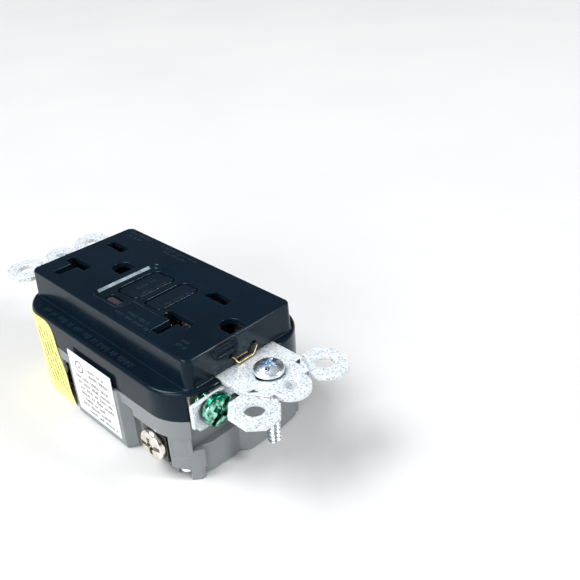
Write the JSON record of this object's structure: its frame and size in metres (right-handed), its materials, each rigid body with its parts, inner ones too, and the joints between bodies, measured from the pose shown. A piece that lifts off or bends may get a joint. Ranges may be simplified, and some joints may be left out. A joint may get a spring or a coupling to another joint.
{
  "type": "ground-fault receptacle",
  "caption": "Decorator-style ground-fault receptacle with mounting strap, test and reset buttons, indicator window and screw terminals.",
  "frame": {"origin": "centre of the mounting strap, on its underside, midway between the two plate-screw holes", "axes": "+Z out of the face, +Y to the end that is up on the wall, +X to the hot side (right, seen from the front)"},
  "size_m": [0.0464, 0.1086, 0.034],
  "materials": {
    "black_plastic": "semi-gloss moulded thermoplastic",
    "smoky_acrylic": "smoky light-pipe acrylic",
    "lamp_resin": "tinted lamp resin",
    "galvanised_steel": "galvanised sheet with fine spangle",
    "contact_brass": "rolled contact brass",
    "plated_brass": "nickel-plated brass",
    "white_nylon": "natural nylon",
    "grey_plastic": "satin moulded thermoplastic",
    "plated_screw": "bright zinc plate",
    "label_paper": "printed label stock",
    "yellow_tape": "satin film tape",
    "board_laminate": "solder-masked laminate",
    "coil_wrap": "enamelled copper over a tape-wound core",
    "copper_winding": "enamelled copper wire",
    "plated_steel": "zinc-plated steel",
    "spring_steel": "music wire",
    "blue_epoxy": "dipped epoxy",
    "yellow_case": "moulded case",
    "green_screw": "green-dyed zinc plate",
    "brass_screw": "bright brass",
    "nickel_screw": "bright nickel plate"
  },
  "bodies": {
    "housing": {"assembly_screws": "plated_screw", "back_body": "grey_plastic", "carrier_springs": "spring_steel", "circuit_board": "board_laminate", "coil_holder": "white_nylon", "controller_chip": "black_plastic", "filter_capacitor": "yellow_case", "front_cover": "black_plastic", "ground_neutral_coil": "coil_wrap", "ground_terminal_bracket": "galvanised_steel", "hot_contact_strip": "contact_brass", "indicator_lamp": "lamp_resin", "light_pipe": "smoky_acrylic", "line_hot_terminal": "contact_brass", "line_neutral_terminal": "plated_brass", "load_hot_terminal": "contact_brass", "load_neutral_terminal": "plated_brass", "lower_ground_contact": "contact_brass", "middle_housing": "white_nylon", "mounting_strap": "galvanised_steel", "neutral_contact_strip": "contact_brass", "plunger_spring": "spring_steel", "rating_label": "label_paper", "reset_spring": "spring_steel", "self_ground_clip": "contact_brass", "sense_coil": "coil_wrap", "solenoid_bobbin": "white_nylon", "solenoid_winding": "copper_winding", "solenoid_yoke": "plated_steel", "test_contact_leaf": "contact_brass", "trip_thyristor": "black_plastic", "upper_ground_contact": "contact_brass", "varistor": "blue_epoxy", "warning_tape": "yellow_tape"},
    "test_button": {"test_button": "black_plastic"},
    "reset_button": {"reset_button": "black_plastic", "reset_rod": "plated_steel"},
    "contact_carrier": {"contact_carrier": "white_nylon", "hot_moving_contact": "contact_brass", "neutral_moving_contact": "contact_brass"},
    "latch_plate": {"latch_plate": "plated_steel"},
    "solenoid_plunger": {"solenoid_plunger": "plated_steel"},
    "ground_screw": {"ground_screw": "green_screw"},
    "line_hot_clamp": {"line_hot_clamp": "contact_brass"},
    "line_hot_screw": {"line_hot_screw": "brass_screw"},
    "load_hot_clamp": {"load_hot_clamp": "contact_brass"},
    "load_hot_screw": {"load_hot_screw": "brass_screw"},
    "line_neutral_clamp": {"line_neutral_clamp": "plated_brass"},
    "line_neutral_screw": {"line_neutral_screw": "nickel_screw"},
    "load_neutral_clamp": {"load_neutral_clamp": "plated_brass"},
    "load_neutral_screw": {"load_neutral_screw": "nickel_screw"},
    "upper_washer": {"upper_retaining_washer": "black_plastic"},
    "upper_mounting_screw": {"upper_mounting_screw": "plated_screw"},
    "lower_washer": {"lower_retaining_washer": "black_plastic"},
    "lower_mounting_screw": {"lower_mounting_screw": "plated_screw"}
  },
  "joints": [
    {"name": "test_press", "type": "slide", "parent": "housing", "child": "test_button", "axis": [0, 0, -1], "range_m": [0, 0.0009], "stiffness_N_per_m": 400, "springref_m": -0.0005, "deforming": ["test_contact_leaf"]},
    {"name": "reset_press", "type": "slide", "parent": "housing", "child": "reset_button", "axis": [0, 0, -1], "range_m": [0, 0.0016], "stiffness_N_per_m": 500, "springref_m": -0.001, "deforming": ["reset_spring"]},
    {"name": "carrier_drop", "type": "slide", "parent": "housing", "child": "contact_carrier", "axis": [0, 0, -1], "range_m": [0, 0.0016], "stiffness_N_per_m": 60, "deforming": ["carrier_springs"]},
    {"name": "plunger_pull", "type": "slide", "parent": "housing", "child": "solenoid_plunger", "axis": [0, 1, 0], "range_m": [0, 0.0015], "stiffness_N_per_m": 80, "springref_m": -0.001, "deforming": ["plunger_spring"]},
    {"name": "latch_slide", "type": "slide", "parent": "contact_carrier", "child": "latch_plate", "axis": [0, 1, 0], "range_m": [0, 0.0015]},
    {"name": "ground_screw_turn", "type": "hinge", "parent": "housing", "child": "ground_screw", "pos_m": [-0.0132, -0.0369, -0.0029], "axis": [0, -1, 0], "continuous": true},
    {"name": "line_hot_clamp_travel", "type": "slide", "parent": "housing", "child": "line_hot_clamp", "axis": [-1, 0, 0], "range_m": [0, 0.0021]},
    {"name": "line_hot_screw_turn", "type": "hinge", "parent": "line_hot_clamp", "child": "line_hot_screw", "pos_m": [0.019, -0.0232, -0.0164], "axis": [1, 0, 0], "range_deg": [-953.4, 0]},
    {"name": "load_hot_clamp_travel", "type": "slide", "parent": "housing", "child": "load_hot_clamp", "axis": [1, 0, 0], "range_m": [0, 0.0021]},
    {"name": "load_hot_screw_turn", "type": "hinge", "parent": "load_hot_clamp", "child": "load_hot_screw", "pos_m": [0.019, 0.0232, -0.0164], "axis": [1, 0, 0], "range_deg": [0, 953.4]},
    {"name": "line_neutral_clamp_travel", "type": "slide", "parent": "housing", "child": "line_neutral_clamp", "axis": [1, 0, 0], "range_m": [0, 0.0021]},
    {"name": "line_neutral_screw_turn", "type": "hinge", "parent": "line_neutral_clamp", "child": "line_neutral_screw", "pos_m": [-0.019, -0.0232, -0.0164], "axis": [-1, 0, 0], "range_deg": [-953.4, 0]},
    {"name": "load_neutral_clamp_travel", "type": "slide", "parent": "housing", "child": "load_neutral_clamp", "axis": [-1, 0, 0], "range_m": [0, 0.00025]},
    {"name": "load_neutral_screw_turn", "type": "hinge", "parent": "load_neutral_clamp", "child": "load_neutral_screw", "pos_m": [-0.019, 0.0232, -0.0164], "axis": [-1, 0, 0], "range_deg": [0, 114.4]},
    {"name": "upper_slot_shift", "type": "slide", "parent": "housing", "child": "upper_washer", "axis": [1, 0, 0], "range_m": [-0.0018, 0.0018]},
    {"name": "upper_mounting_screw_turn", "type": "hinge", "parent": "upper_washer", "child": "upper_mounting_screw", "pos_m": [0, 0.04167, 0], "axis": [0, 0, 1], "continuous": true},
    {"name": "lower_slot_shift", "type": "slide", "parent": "housing", "child": "lower_washer", "axis": [1, 0, 0], "range_m": [-0.0018, 0.0018]},
    {"name": "lower_mounting_screw_turn", "type": "hinge", "parent": "lower_washer", "child": "lower_mounting_screw", "pos_m": [0, -0.04167, 0], "axis": [0, 0, 1], "continuous": true}
  ],
  "couplings": [
    {"joint": "carrier_drop", "follows": "reset_press", "ratio": 1},
    {"joint": "latch_slide", "follows": "plunger_pull", "ratio": 1},
    {"joint": "line_hot_screw_turn", "follows": "line_hot_clamp_travel", "rad_per_m": -7915.8},
    {"joint": "load_hot_screw_turn", "follows": "load_hot_clamp_travel", "rad_per_m": 7915.8},
    {"joint": "line_neutral_screw_turn", "follows": "line_neutral_clamp_travel", "rad_per_m": -7915.8},
    {"joint": "load_neutral_screw_turn", "follows": "load_neutral_clamp_travel", "rad_per_m": 7915.8}
  ]
}
